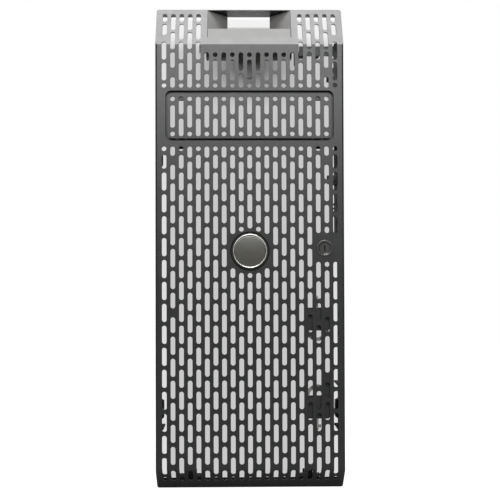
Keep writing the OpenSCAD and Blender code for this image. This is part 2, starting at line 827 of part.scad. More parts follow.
module lock_cam() {
    color(steel)
    difference() {
        union() {
            rod(lock_x, lock_z, 4.2, cam_y, cam_y + cam_t);
            rod(pin[0], pin[1], 2.6, cam_y, cam_y + cam_t);
            translate([lock_x, 0, lock_z]) rotate([0, -45, 0])
                block([0, cam_y, -2.6], [crank_r, cam_y + cam_t, 2.6]);
            rod(pin[0], pin[1], 1.5, cam_y + 0.1, bar_front + foot_t + 0.6);
        }
        rod(lock_x, lock_z, 2.05, cam_y - 1, 0);
    }
}

module cam_screw() {
    color(steel)
    difference() {
        union() {
            rod(lock_x, lock_z, 2.6, cam_y + cam_t, cam_y + cam_t + 1.3);
            rod(lock_x, lock_z, 0.95, cam_y - 3, cam_y + cam_t + 0.1);
        }
        block([lock_x - 2, cam_y + cam_t + 0.8, lock_z - 0.35], [lock_x + 2, 0, lock_z + 0.35]);
    }
}

// Bar that the lock raises and lowers, with a slotted foot and two chassis hooks
module lock_bar() {
    foot_low = lock_z - 0.3;
    color(satin_black)
    difference() {
        union() {
            block([bar_x, bar_front, foot_low], [bar_x + bar_t, bar_front + bar_w, bar_top]);
            block([lock_x - 0.1, bar_front, foot_low], [bar_x + 1, bar_front + foot_t, foot_low + 9]);
            along_x(rib_x + 4.35, bar_x + 1)
                polygon([[-16, arm_z], [-13, arm_z], [-13, arm_z + 9], [-16, arm_z + 9]]);
            for (x = [rib_x + 7.35, rib_x + 21.35]) chassis_hook(x, hook_w, -14, arm_z + 1.5);
            for (z = [lock_z + 38.3, lock_z + 42.3]) along_x(bar_x - 1.2, bar_x + 0.5)
                polygon([[-21, z - 0.8], [-15, z - 0.8], [-15, z + 0.8], [-21, z + 0.8]]);
        }
        along_y(bar_front - 1, bar_front + foot_t + 1) {
            translate([pin[0] - 0.09, pin[1] - 1.85]) square([1.9, 3.7]);
            for (x = [pin[0] - 0.09, pin[0] + 1.81]) translate([x, pin[1]]) circle(1.85);
        }
    }
}

// Channel that the lock bar slides in, open to the side wall, h high about z
module bar_guide(z, h) {
    wall = 1.8;
    inner = bar_x - slide_gap;
    outer = inner_x - slide_gap;
    rear = bar_front + bar_w + slide_gap;
    color(satin_black)
    difference() {
        union() {
            block([inner - wall, guide_y, z - h / 2], [outer, guide_y + 2, z + h / 2]);
            block([inner - wall, guide_y, z - h / 2], [inner, rear + 1.5, z + h / 2]);
            block([inner - wall, rear, z - h / 2], [outer, rear + 1.5, z + h / 2]);
            block([guide_x - 2.9, guide_y, z - 4], [inner - wall + 0.5, guide_y + 2, z + 4]);
        }
        rod(guide_x, z, screw_r + 0.05, guide_y - 1, guide_y + 3);
    }
}

module bar_guide_upper() {
    bar_guide(upper_guide_z, 19);
}

module bar_guide_lower() {
    bar_guide(lower_guide_z, 8.5);
}

// ---- Badge ----
dish_y = front_y + dish_depth;
carrier_y = dish_y - run_gap;
ring_inner = badge_r - ring_w;
face_y = front_y - 0.2;
clip_t = 0.6;

// Disc that turns about Y, from an [radius, y] outline
module turned(z) {
    translate([0, 0, z]) rotate([90, 0, 0]) rotate_extrude() children();
}

module badge_carrier() {
    color(deep_black)
    difference() {
        union() {
            rod(0, badge_z, badge_r - 0.5, carrier_y - 0.6, carrier_y);
            rod(0, badge_z, ring_inner - 0.05, face_y, carrier_y - 0.5);
            rod(0, badge_z, pivot_r, carrier_y - 0.1, badge_hub_y + 2.2);
        }
        difference() {
            rod(0, badge_z, pivot_r + 1, badge_hub_y, badge_hub_y + clip_t + 0.1);
            rod(0, badge_z, pivot_r - 0.8, badge_hub_y - 1, badge_hub_y + 2);
        }
    }
}

module badge_ring() {
    front = front_y - 1.5;
    back = carrier_y - 0.6;
    color(bright_metal) turned(badge_z) polygon([
        [ring_inner, -back], [badge_r, -back], [badge_r, -front - 0.5],
        [badge_r - 0.35, -front - 0.1], [badge_r - 0.65, -front],
        [ring_inner + 0.3, -front - 0.2], [ring_inner, -front - 0.5]
    ]);
}

module badge_face() {
    rim = ring_inner - 0.1;
    rise = 0.9;
    steps = 8;
    color(dark_gloss) turned(badge_z) polygon(concat(
        [[0, -face_y]],
        [[rim, -face_y]],
        [for (k = [steps : -1 : 0]) let (u = k / steps) [rim * u, -face_y + 0.4 + rise * (1 - u * u)]]
    ));
}

module badge_clip() {
    color(steel)
    difference() {
        rod(0, badge_z, pivot_r + 2.8, badge_hub_y + 0.05, badge_hub_y + 0.05 + clip_t);
        rod(0, badge_z, pivot_r - 0.7, badge_hub_y - 1, badge_hub_y + 2);
        block([-1.6, badge_hub_y - 1, badge_z - 12], [1.6, badge_hub_y + 2, badge_z - 2]);
    }
}

// ---- Keys ----
// Tray for a key, in the upper one's place: screwed on at the top right, or by an ear of its own
module key_tray(ear) {
    base = holder_y;
    low = upper_holder_z - holder_h / 2;
    high = upper_holder_z + holder_h / 2;
    left = holder_x - holder_w / 2;
    right = holder_x + holder_w / 2;
    difference() {
        union() {
            along_y(base, base + 2) translate([holder_x, upper_holder_z]) rounded(holder_w, holder_h, 2);
            for (x = [left, right - 1.4]) block([x, base, upper_holder_z - 2], [x + 1.4, base + 10, upper_holder_z + 3.4]);
            block([left, base + 5.4, upper_holder_z - 1], [right, base + 7, upper_holder_z + 2.4]);
            for (x = [holder_x - 3.1, holder_x + 1.7])
                block([x, base + 1.5, upper_holder_z + 3], [x + 1.4, base + 5, high - 3]);
            if (ear > 0) block([holder_screw_x - 2.8, base, low - ear], [holder_screw_x + 2.5, base + 2, low + 3]);
        }
        rod(holder_screw_x, ear > 0 ? low - ear + 3 : upper_holder_z + holder_screw_up, screw_r + 0.05, base - 1, base + 3);
    }
}

// Key with a ring bow below and its blade upwards, in the upper holder
module stored_key() {
    bow_z = upper_holder_z - 9.7;
    y = holder_y + 2.5;
    shank = 2;
    tip = upper_holder_z + 21.6;
    difference() {
        union() {
            rod(holder_x, bow_z, bow_r, y, y + bow_t);
            block([holder_x - shank / 2, y, bow_z + bow_r - 1], [holder_x + shank / 2, y + bow_t, tip]);
            block([holder_x - shank / 2, y, tip - 5], [holder_x + 3.2, y + bow_t, tip - 2.4]);
        }
        rod(holder_x, bow_z, bow_r - 3.3, y - 1, y + bow_t + 1);
        block([holder_x - bow_r, y - 1, bow_z - bow_r - 1], [holder_x + bow_r, y + 0.35, bow_z - bow_r + 0.2]);
    }
}

// Turns the upper holder's place into the lower one's, upside down
module in_lower_place() {
    translate([0, 0, lower_holder_z]) mirror([0, 0, 1]) translate([0, 0, -upper_holder_z]) children();
}

lower_ear = lower_boss_z + 3 - (lower_holder_z + holder_h / 2);

module key_holder_upper() {
    color(deep_black) key_tray(0);
}

module key_holder_lower() {
    color(deep_black) in_lower_place() key_tray(lower_ear);
}

module key_upper() {
    color(bright_metal) stored_key();
}

module key_lower() {
    color(bright_metal) in_lower_place() stored_key();
}

bezel_shell();
drive_panel();
handle_pocket();
pocket_screws();
latch_housing();
latch_cover();
housing_screws();
cover_screws();
release_latch();
latch_spring();
lock_bar();
bar_guide_upper();
bar_guide_lower();
guide_screws();
lock_collar();
lock_barrel();
lock_nut();
lock_plug();
lock_cam();
cam_screw();
badge_carrier();
badge_ring();
badge_face();
badge_clip();
key_holder_upper();
key_holder_lower();
holder_screws();
key_upper();
key_lower();
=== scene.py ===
"""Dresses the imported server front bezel: finishes, turned and drawn fittings, studio and camera."""

import math

import bmesh
import bpy
from bpy.props import FloatProperty, FloatVectorProperty, PointerProperty
from mathutils import Matrix, Quaternion, Vector


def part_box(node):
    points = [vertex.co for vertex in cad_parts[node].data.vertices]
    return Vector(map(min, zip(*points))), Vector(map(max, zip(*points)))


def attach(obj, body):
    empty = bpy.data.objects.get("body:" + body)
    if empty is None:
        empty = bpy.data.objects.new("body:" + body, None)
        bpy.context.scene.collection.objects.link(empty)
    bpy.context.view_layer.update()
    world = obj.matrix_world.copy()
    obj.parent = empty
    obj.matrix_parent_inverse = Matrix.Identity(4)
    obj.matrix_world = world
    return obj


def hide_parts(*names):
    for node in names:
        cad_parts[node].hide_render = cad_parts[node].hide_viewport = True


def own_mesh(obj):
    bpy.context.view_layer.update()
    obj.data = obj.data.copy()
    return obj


bl_info = {
    "name": "Server front bezel",
    "version": (1, 0, 0),
    "blender": (4, 5, 0),
    "location": "3D View > Sidebar > Bezel",
    "description": "Finishes a packed server front bezel and sets up its studio",
    "category": "Object",
}

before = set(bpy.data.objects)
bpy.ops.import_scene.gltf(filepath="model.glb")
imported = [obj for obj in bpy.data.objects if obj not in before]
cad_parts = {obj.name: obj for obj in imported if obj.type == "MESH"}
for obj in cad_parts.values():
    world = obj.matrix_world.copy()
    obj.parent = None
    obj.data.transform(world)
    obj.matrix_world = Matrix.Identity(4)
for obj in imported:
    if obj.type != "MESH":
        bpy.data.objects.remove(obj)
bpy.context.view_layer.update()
MM = 0.001
NOISE_BAND = (0.3, 0.7)
SHARP_ANGLE = math.radians(32)
UNBRUSHED = (1, 1, 1)


# ---- Settings ----

def colour(name, description, default):
    """A colour setting, in linear values."""
    return FloatVectorProperty(
        name=name, description=description, subtype="COLOR", size=3, min=0, max=1, default=default
    )


def length(name, description, default):
    """A length setting, in metres."""
    return FloatProperty(name=name, description=description, default=default, unit="LENGTH")


def amount(name, description, default):
    """A setting from 0 to 1."""
    return FloatProperty(name=name, description=description, default=default, min=0, max=1, subtype="FACTOR")


def angle(name, description, degrees):
    """An angle setting, given in degrees."""
    default = math.radians(degrees)
    return FloatProperty(name=name, description=description, default=default, subtype="ANGLE")


def strength(name, description, default):
    """The power of a lamp, or the world's strength."""
    return FloatProperty(name=name, description=description, default=default, min=0)


class BezelFinishes(bpy.types.PropertyGroup):
    """Colours and gloss of the bezel's materials."""

    charcoal: colour("Charcoal", "Colour of the slotted mouldings", (0.0108, 0.0113, 0.0118))
    charcoal_roughness: amount("Charcoal roughness", "Roughness of the slotted mouldings", 0.34)
    grain: length("Grain", "Depth of the moulded grain", 0.00004)
    pocket: colour("Pocket", "Colour of the handle pocket", (0.135, 0.134, 0.130))
    pocket_roughness: amount("Pocket roughness", "Roughness of the handle pocket", 0.5)
    # The latch housing's colour is partly the plastic's own grey and partly painted light, raised so that it
    # shows lit in the shade behind the shell.
    housing: colour("Housing", "Colour of the latch housing", (0.42, 0.42, 0.40))
    # The lock bar's colour is raised well above the shell's charcoal as painted light, since little light
    # reaches it behind the shell.
    works_painted_light: colour("Lock bar", "Colour of the lock bar and its guides", (0.11, 0.112, 0.115))
    black: colour("Black", "Colour of the black carriers", (0.02, 0.02, 0.021))
    badge: colour("Badge", "Colour of the plain badge face", (0.052, 0.051, 0.043))
    silver: colour("Silver", "Colour of the bright metal", (0.54, 0.53, 0.50))
    zinc: colour("Zinc", "Colour of the zinc plated metal", (0.38, 0.38, 0.40))
    collar: colour("Collar", "Colour of the lock's collar", (0.03, 0.03, 0.029))
    plug: colour("Lock metal", "Colour of the lock's barrel and plug", (0.06, 0.06, 0.058))


class BezelStudio(bpy.types.PropertyGroup):
    """Camera and lamps."""

    distance: length("Distance", "From the bezel's front to the camera", 1.0029)
    lens: FloatProperty(name="Lens", description="Focal length in millimetres", default=78.04, min=20, max=200)
    aim_height: length("Aim height", "Height that the camera looks at", 0.2233)
    turn: angle("Turn", "Camera's place to the left", 0.96)
    tilt: angle("Tilt", "Camera's place below level", 1.2)
    roll: angle("Roll", "Camera's roll", -0.17)
    top_light: strength("Top light", "Power of the overhead softbox", 6.6)
    top_rise: length("Top light's height", "From the bezel's top up to the softbox", 0.48)
    top_reach: length("Top light's reach", "From the bezel's front to the softbox's middle", 0.14)
    ambient: strength("Ambient", "Strength of the world's light", 0.2)
    panel_light: strength("Panel light", "Power of the upright panel", 26.0)
    panel_low: length("Panel's height", "Lower edge of the upright panel", 0.56)
    panel_reach: length("Panel's reach", "From the bezel's front to the upright panel", 1.25)


# ---- Material nodes ----

def start_material(name):
    """A material with its tree, Principled shader and object coordinates."""
    material = bpy.data.materials.new(name)
    material.use_nodes = True
    tree = material.node_tree
    shader = tree.nodes["Principled BSDF"]
    place = tree.nodes.new("ShaderNodeTexCoord").outputs["Object"]
    return material, tree, shader, place


def noise(tree, place, scale, detail=3.0, stretch=None):
    """Noise on the given coordinates, stretched along an axis where asked."""
    if stretch:
        mapping = tree.nodes.new("ShaderNodeMapping")
        mapping.inputs["Scale"].default_value = stretch
        tree.links.new(place, mapping.inputs["Vector"])
        place = mapping.outputs["Vector"]
    node = tree.nodes.new("ShaderNodeTexNoise")
    node.inputs["Scale"].default_value = scale
    node.inputs["Detail"].default_value = detail
    tree.links.new(place, node.inputs["Vector"])
    return node.outputs["Fac"]


def ramp(tree, value, start, end, low, high):
    """A value mapped from start..end to low..high."""
    node = tree.nodes.new("ShaderNodeMapRange")
    for name, number in (("From Min", start), ("From Max", end), ("To Min", low), ("To Max", high)):
        node.inputs[name].default_value = number
    tree.links.new(value, node.inputs["Value"])
    return node.outputs["Result"]


def combine(tree, operation, first, second=None):
    """Result of a Math node."""
    node = tree.nodes.new("ShaderNodeMath")
    node.operation = operation
    tree.links.new(first, node.inputs[0])
    if second:
        tree.links.new(second, node.inputs[1])
    return node.outputs["Value"]


def spread(tree, value, low, high, target):
    """Maps noise's middle band to low..high and feeds it to a socket."""
    tree.links.new(ramp(tree, value, *NOISE_BAND, low, high), target)


def tint(tree, value, first, second, target):
    """Mixes two colours by a value and feeds the result to a socket."""
    node = tree.nodes.new("ShaderNodeMix")
    node.data_type = "RGBA"
    node.inputs["A"].default_value = (*first, 1)
    node.inputs["B"].default_value = (*second, 1)
    tree.links.new(value, node.inputs["Factor"])
    tree.links.new(node.outputs["Result"], target)


def emboss(tree, value, strength, depth, shader):
    """Bump from a value."""
    node = tree.nodes.new("ShaderNodeBump")
    node.inputs["Strength"].default_value = strength
    node.inputs["Distance"].default_value = depth
    tree.links.new(value, node.inputs["Height"])
    tree.links.new(node.outputs["Normal"], shader.inputs["Normal"])


def moulded_plastic(name, base, roughness, grain, specular=0.5):
    """Fine-grained moulded plastic with slight unevenness of tone and gloss."""
    material, tree, shader, place = start_material(name)
    dark = [c * 0.94 for c in base]
    light = [c * 1.06 for c in base]
    tint(tree, noise(tree, place, 38, 4), dark, light, shader.inputs["Base Color"])
    spread(tree, noise(tree, place, 90, 3), roughness - 0.03, roughness + 0.03, shader.inputs["Roughness"])
    shader.inputs["Specular IOR Level"].default_value = specular
    emboss(tree, noise(tree, place, 1700, 2), 0.35, grain, shader)
    return material


def brushed_metal(name, base, roughness, stretch):
    """Metal with fine brushing across the given axis."""
    material, tree, shader, place = start_material(name)
    brushing = noise(tree, place, 900, 2, stretch)
    dark = [c * 0.88 for c in base]
    light = [min(1, c * 1.08) for c in base]
    tint(tree, brushing, dark, light, shader.inputs["Base Color"])
    spread(tree, brushing, roughness - 0.06, roughness + 0.06, shader.inputs["Roughness"])
    shader.inputs["Metallic"].default_value = 1
    emboss(tree, brushing, 0.2, 0.00002, shader)
    return material


def glossy_coat(name, base, roughness):
    """Lacquered plastic with a faint orange peel."""
    material, tree, shader, place = start_material(name)
    dark = [c * 0.92 for c in base]
    light = [c * 1.08 for c in base]
    tint(tree, noise(tree, place, 60, 3), dark, light, shader.inputs["Base Color"])
    spread(tree, noise(tree, place, 140, 2), roughness, roughness + 0.05, shader.inputs["Roughness"])
    shader.inputs["Coat Weight"].default_value = 0.6
    shader.inputs["Coat Roughness"].default_value = 0.08
    emboss(tree, noise(tree, place, 420, 2), 0.15, 0.00002, shader)
    return material


def dress(material, *nodes):
    """Gives CAD nodes a material."""
    for name in nodes:
        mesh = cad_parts[name].data
        mesh.materials.clear()
        mesh.materials.append(material)


# ---- Mesh helpers ----

def finish_piece(name, mesh_data, material, body, node):
    """Makes an object of a bmesh, shaded smooth between its sharp edges, in a CAD node's place."""
    bmesh.ops.recalc_face_normals(mesh_data, faces=mesh_data.faces)
    mesh = bpy.data.meshes.new(name)
    mesh_data.to_mesh(mesh)
    mesh_data.free()
    mesh.materials.append(material)
    mesh.shade_smooth()
    mesh.set_sharp_from_angle(angle=SHARP_ANGLE)
    piece = bpy.data.objects.new(name, mesh)
    bpy.context.scene.collection.objects.link(piece)
    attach(piece, body)
    if node:
        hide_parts(node)
    return piece


def middle(node):
    """Middle of a CAD node's box."""
    low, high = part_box(node)
    return (low + high) / 2


def turned(centre, outline, steps=96):
    """Solid of revolution about Y through centre, from a closed outline of [radius, y] in metres."""
    shape = bmesh.new()
    rim = [shape.verts.new((centre.x + r, y, centre.z)) for r, y in outline]
    for first, second in zip(rim, rim[1:] + rim[:1]):
        if first.co.x - centre.x > 1e-7 or second.co.x - centre.x > 1e-7:
            shape.edges.new((first, second))
    bmesh.ops.spin(
        shape, geom=shape.verts[:] + shape.edges[:], cent=(centre.x, 0, centre.z),
        axis=(0, 1, 0), angle=math.tau, steps=steps, use_merge=True,
    )
    bmesh.ops.remove_doubles(shape, verts=shape.verts, dist=1e-7)
    return shape


def arc(centre_r, centre_y, radius, start, end, steps=6):
    """Points of an arc in an outline, with angles in degrees."""
    angles = [math.radians(start + (end - start) * k / steps) for k in range(steps + 1)]
    return [(centre_r + radius * math.cos(a), centre_y + radius * math.sin(a)) for a in angles]


def coil(centre, low, high, radius, wire, turns, steps=32):
    """Wire wound about Z from low to high, with one closed turn at each end."""
    shape = bmesh.new()
    upright = Matrix.Rotation(math.radians(90), 4, "X")
    seat = Matrix.Translation((centre.x + radius, centre.y, low + wire / 2)) @ upright
    ring = bmesh.ops.create_circle(shape, segments=12, radius=wire / 2, matrix=seat)["verts"]
    geom = ring + list({edge for vert in ring for edge in vert.link_edges})
    first = geom
    rise = (high - low - 3 * wire) / (turns - 2)
    for count, pitch in ((1, wire), (turns - 2, rise), (1, wire)):
        geom = bmesh.ops.spin(
            shape, geom=geom, cent=(centre.x, centre.y, 0), axis=(0, 0, 1),
            dvec=(0, 0, pitch / steps), angle=math.tau * count, steps=steps * count,
        )["geom_last"]
    for end in (first, geom):
        rim = [item for item in end if isinstance(item, bmesh.types.BMEdge)]
        bmesh.ops.contextual_create(shape, geom=rim)
    return shape


def block(shape, low, high):
    """Adds a box between two corners to a bmesh."""
    verts = bmesh.ops.create_cube(shape, size=1)["verts"]
    bmesh.ops.scale(shape, vec=[b - a for a, b in zip(low, high)], verts=verts)
    bmesh.ops.translate(shape, vec=[(a + b) / 2 for a, b in zip(low, high)], verts=verts)


def sheet(shape, across, along, place, thickness):
    """Adds a wall to a bmesh: a grid whose every point [0..1, 0..1] goes to a place, then thickened."""
    grid = bmesh.ops.create_grid(shape, x_segments=across, y_segments=along, size=0.5)["verts"]
    for vert in grid:
        vert.co = place(vert.co.x + 0.5, vert.co.y + 0.5)
    faces = list({face for vert in grid for face in vert.link_faces})
    bmesh.ops.recalc_face_normals(shape, faces=faces)
    if faces[0].normal.y > 0:
        bmesh.ops.reverse_faces(shape, faces=faces)
    bmesh.ops.solidify(shape, geom=faces, thickness=thickness)


# ---- Operators ----

def finishes():
    """The scene's finish settings."""
    return bpy.context.scene.bezel_finishes


class BEZEL_OT_mouldings(bpy.types.Operator):
    """Charcoal plastic of the slotted shell, the insert and the mechanism behind them"""

    bl_idname = "bezel.mouldings"
    bl_label = "Mouldings"

    def execute(self, context):
        f = finishes()
        charcoal = moulded_plastic("charcoal_plastic", f.charcoal, f.charcoal_roughness, f.grain)
        dress(charcoal, "bezel_shell", "drive_panel")
        # Latch housing, cover and release latch: colour partly painted light, raised for the shade behind the
        # shell.
        housing = moulded_plastic("housing_plastic_painted_light", f.housing, 0.5, f.grain)
        dress(housing, "latch_housing", "latch_cover", "release_latch")
        # Lock bar and guides: colour raised as painted light, as little light reaches them behind the shell.
        works_painted_light = moulded_plastic("works_plastic", f.works_painted_light, 0.5, f.grain)
        dress(works_painted_light, "lock_bar", "bar_guide_upper", "bar_guide_lower")
        return {"FINISHED"}


class BEZEL_OT_pocket(bpy.types.Operator):
    """Grey moulding of the handle pocket: lip, funnel with drawn-in sides, and rear plate with the window"""

    bl_idname = "bezel.pocket"
    bl_label = "Handle pocket"

    def execute(self, context):
        f = finishes()
        plastic = moulded_plastic("pocket_plastic", f.pocket, f.pocket_roughness, f.grain, 0.2)
        low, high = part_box("handle_pocket")
        shell_low, shell_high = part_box("bezel_shell")
        brow_height = 38 * MM
        brow_depth = 24 * MM
        crease = shell_high.z - brow_height
        mouth_half, mouth_top, mouth_sink = 38.9 * MM, shell_high.z - 0.9 * MM, 0.5 * MM
        window_half, window_top = 20.4 * MM, shell_high.z - 2.6 * MM
        sill = shell_high.z - 14.7 * MM
        sill_nose = Vector((0, -6.5 * MM, -1.6 * MM))
        lip_top, lip_sink = low.z + 9.0 * MM, 1.4 * MM
        lip_overlap = 0.6 * MM
        wall, lip_wall, plate_wall = 0.8 * MM, 1.4 * MM, 1.8 * MM
        plate = high.y - plate_wall
        plate_foot = high.z - 22.5 * MM

        def brow(z, sink):
            """Y of the sloped brow at a height, moved back by a sink."""
            return shell_low.y + (z - crease) * brow_depth / brow_height + sink

        def funnel(u, v):
            """From the mouth (v = 0) to the window (v = 1), down one side, across and up the other."""
            on_side = u < 0.25 or u > 0.75
            drop = min(u, 1 - u) * 4 if on_side else 1
            x = -1 if u <= 0.25 else 1 if u >= 0.75 else (u - 0.5) * 4
            z = mouth_top * (1 - drop) + lip_top * drop
            sink = mouth_sink * (1 - drop) + lip_sink * drop
            start = Vector((x * mouth_half, brow(z, sink), z))
            end = Vector((x * window_half, plate, window_top * (1 - drop) + sill * drop))
            if abs(x) < 0.999:
                end += sill_nose
            return start.lerp(end, v)

        def lip_band(u, v):
            """Flat band below the mouth, from the moulding's foot to just over the lip."""
            z = low.z + (lip_top + lip_overlap - low.z) * v
            return Vector(((u - 0.5) * 2 * mouth_half, brow(z, lip_sink), z))

        shape = bmesh.new()
        sheet(shape, 32, 10, funnel, wall)
        sheet(shape, 8, 4, lip_band, lip_wall)
        for left, right, bottom, height in (
            (low.x, high.x, plate_foot, sill),
            (low.x, -window_half, sill, high.z),
            (window_half, high.x, sill, high.z),
        ):
            block(shape, (left, plate, bottom), (right, high.y, height))
        finish_piece("pocket_moulding", shape, plastic, "bezel", "handle_pocket")
        return {"FINISHED"}


class BEZEL_OT_badge(bpy.types.Operator):
    """Turned ring and domed face of the badge, with its carrier and clip"""

    bl_idname = "bezel.badge"
    bl_label = "Badge"

    def execute(self, context):
        f = finishes()
        silver = brushed_metal("polished_silver", f.silver, 0.34, UNBRUSHED)
        low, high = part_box("badge_ring")
        centre = middle("badge_ring")
        outer = (high.x - low.x) / 2
        width = 1.3 * MM
        crown = width / 2
        ring = [(outer - width, high.y), (outer, high.y)]
        ring += arc(outer - crown, low.y + crown, crown, 0, -180, 12)
        ring_shape = turned(centre, ring)
        finish_piece("badge_ring_turned", ring_shape, silver, "badge", "badge_ring")
        low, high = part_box("badge_face")
        rim = (high.x - low.x) / 2
        edge_height, edge_break = 0.4 * MM, 0.1 * MM
        rise = high.y - low.y - edge_height
        stations = (0.985, 0.94, 0.85, 0.7, 0.55, 0.4, 0.25, 0.12, 0)
        dome = [(0, high.y), (rim, high.y), (rim, low.y + rise + edge_break)]
        dome += [(rim * u, low.y + rise * u * u) for u in stations]
        glaze = glossy_coat("badge_glaze", f.badge, 0.3)
        finish_piece("badge_dome", turned(centre, dome), glaze, "badge", "badge_face")
        dress(moulded_plastic("carrier_plastic", f.black, 0.45, f.grain), "badge_carrier")
        dress(brushed_metal("clip_steel", f.zinc, 0.35, UNBRUSHED), "badge_clip")
        return {"FINISHED"}


class BEZEL_OT_lock(bpy.types.Operator):
    """Glossy collar and metal barrel, plug, nut and cam of the lock"""

    bl_idname = "bezel.lock"
    bl_label = "Lock"

    def execute(self, context):
        f = finishes()
        low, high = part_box("lock_collar")
        centre = middle("lock_collar")
        outer = (high.x - low.x) / 2
        barrel_low, barrel_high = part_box("lock_barrel")
        gap = 0.1 * MM
        seat = (barrel_high.x - barrel_low.x) / 2 + gap
        lip = 0.45 * MM
        flange = 0.8 * MM
        overhang = 1.3 * MM
        crest = 1.5 * MM
        chamfer = 0.35 * MM
        step = barrel_low.y + 0.9 * MM
        bore = 4.26 * MM
        face = low.y + flange
        collar = [(outer - overhang, high.y), (outer - overhang, face), (outer, face)]
        collar += arc(outer - lip, low.y + lip, lip, 0, -90, 6)
        collar += arc(outer - crest, low.y + lip, lip, -90, -150, 5)
        collar += [(seat + chamfer, barrel_low.y - gap), (seat, barrel_low.y + gap)]
        collar += [(seat, step), (bore, step), (bore, high.y)]
        gloss = glossy_coat("collar_gloss", f.collar, 0.22)
        collar_shape = turned(centre, collar)
        finish_piece("lock_collar_turned", collar_shape, gloss, "bezel", "lock_collar")
        dress(brushed_metal("lock_metal", f.plug, 0.4, (1, 0.1, 1)), "lock_barrel", "lock_plug")
        dress(brushed_metal("lock_zinc", f.zinc, 0.38, (1, 1, 0.1)), "lock_nut", "lock_cam", "cam_screw")
        return {"FINISHED"}


class BEZEL_OT_keys(bpy.types.Operator):
    """Stored keys and their holders"""

    bl_idname = "bezel.keys"
    bl_label = "Keys"

    def execute(self, context):
        f = finishes()
        dress(brushed_metal("key_metal", f.silver, 0.3, (0.1, 1, 1)), "key_upper", "key_lower")
        black = moulded_plastic("holder_plastic", f.black, 0.45, f.grain)
        dress(black, "key_holder_upper", "key_holder_lower")
        return {"FINISHED"}


class BEZEL_OT_spring(bpy.types.Operator):
    """Drawn wire spring that returns the latch"""

    bl_idname = "bezel.spring"
    bl_label = "Latch spring"

    def execute(self, context):
        low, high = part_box("latch_spring")
        wire = 0.8 * MM
        radius = (high.x - low.x - wire) / 2
        steel = brushed_metal("spring_wire", finishes().zinc, 0.28, UNBRUSHED)
        winding = coil(middle("latch_spring"), low.z, high.z, radius, wire, 8)
        spring = finish_piece("latch_spring_wound", winding, steel, "bezel", "latch_spring")
        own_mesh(spring)
        return {"FINISHED"}


class BEZEL_OT_screws(bpy.types.Operator):
    """Zinc plated screws"""

    bl_idname = "bezel.screws"
    bl_label = "Screws"

    def execute(self, context):
        plated = brushed_metal("screw_zinc", finishes().zinc, 0.33, UNBRUSHED)
        dress(plated, "pocket_screws", "housing_screws", "cover_screws", "guide_screws", "holder_screws")
        return {"FINISHED"}


# ---- Studio ----

def area_lamp(name, place, target, size, power):
    """Rectangular softbox that points at target."""
    data = bpy.data.lights.new(name, "AREA")
    data.shape = "RECTANGLE"
    data.size, data.size_y = size
    data.energy = power
    lamp = bpy.data.objects.new(name, data)
    lamp.location = place
    lamp.rotation_mode = "QUATERNION"
    lamp.rotation_quaternion = (Vector(target) - Vector(place)).to_track_quat("-Z", "Y")
    bpy.context.scene.collection.objects.link(lamp)


def stage_plane(name, width, height, place, upright, material):
    """Plane of the stage, with its place in its mesh."""
    shape = bmesh.new()
    bmesh.ops.create_grid(shape, x_segments=1, y_segments=1, size=0.5)
    bmesh.ops.scale(shape, vec=(width, height, 1), verts=shape.verts)
    if upright:
        bmesh.ops.rotate(shape, matrix=Matrix.Rotation(math.radians(90), 3, "X"), verts=shape.verts)
    bmesh.ops.translate(shape, vec=place, verts=shape.verts)
    mesh = bpy.data.meshes.new(name)
    shape.to_mesh(mesh)
    shape.free()
    mesh.materials.append(material)
    plane = bpy.data.objects.new(name, mesh)
    bpy.context.scene.collection.objects.link(plane)
    return plane


def camera_sees(tree):
    """1 where the camera looks straight at the surface."""
    return tree.nodes.new("ShaderNodeLightPath").outputs["Is Camera Ray"]


def stage_material(name, glow_level, grey):
    """A material with an empty output, a white glow of a given strength and a matt grey surface."""
    material = bpy.data.materials.new(name)
    material.use_nodes = True
    tree = material.node_tree
    tree.nodes.clear()
    glow = tree.nodes.new("ShaderNodeEmission")
    glow.inputs["Color"].default_value = (1, 1, 1, 1)
    tree.links.new(glow_level(tree), glow.inputs["Strength"])
    matt = tree.nodes.new("ShaderNodeBsdfDiffuse")
    matt.inputs["Color"].default_value = (grey, grey, grey, 1)
    out = tree.nodes.new("ShaderNodeOutputMaterial")
    return material, tree, glow.outputs["Emission"], matt.outputs["BSDF"], out.inputs["Surface"]


def join_shaders(tree, kind, first, second, target, factor=None):
    """Adds or mixes two shaders and feeds the result to a socket."""
    node = tree.nodes.new(kind)
    start = 0
    if factor:
        tree.links.new(factor, node.inputs["Fac"])
        start = 1
    tree.links.new(first, node.inputs[start])
    tree.links.new(second, node.inputs[start + 1])
    if target:
        tree.links.new(node.outputs["Shader"], target)
    return node.outputs["Shader"]


def floor_material():
    """Pale floor that keeps the shadow and meets the white background."""
    glow_strength, grey = 0.94, 0.35

    def level(tree):
        return ramp(tree, camera_sees(tree), 0, 1, 0, glow_strength)

    material, tree, glow, matt, surface = stage_material("studio_floor", level, grey)
    join_shaders(tree, "ShaderNodeAddShader", glow, matt, surface)
    return material


